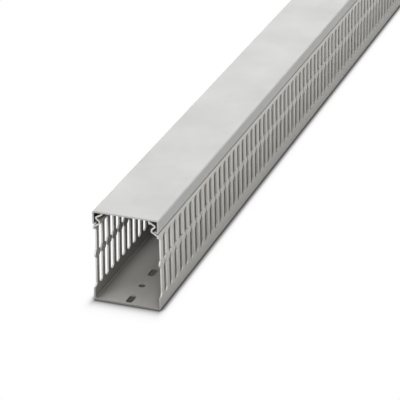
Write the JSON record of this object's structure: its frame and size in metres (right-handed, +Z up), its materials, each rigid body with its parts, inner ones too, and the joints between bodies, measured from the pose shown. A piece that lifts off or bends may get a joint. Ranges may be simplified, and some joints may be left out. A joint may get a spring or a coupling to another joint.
{
  "type": "slotted wire duct",
  "caption": "Straight grey plastic wiring duct with slotted finger walls, a punched floor and a snap-fit cover that slides off lengthwise.",
  "frame": {"origin": "centre of the underside, halfway along the duct", "axes": "+Y along the duct, away from the cut end that shows its section; +Z up toward the cover; X across the width"},
  "size_m": [0.06, 2, 0.083],
  "materials": {
    "duct_base": "plain extruded PVC",
    "cover": "plain extruded PVC"
  },
  "bodies": {
    "duct_base": {"duct_base": "duct_base"},
    "cover": {"cover": "cover"}
  },
  "joints": [
    {"name": "cover_slide", "type": "slide", "parent": "duct_base", "child": "cover", "axis": [0, 1, 0], "range_m": [0, 2]}
  ]
}
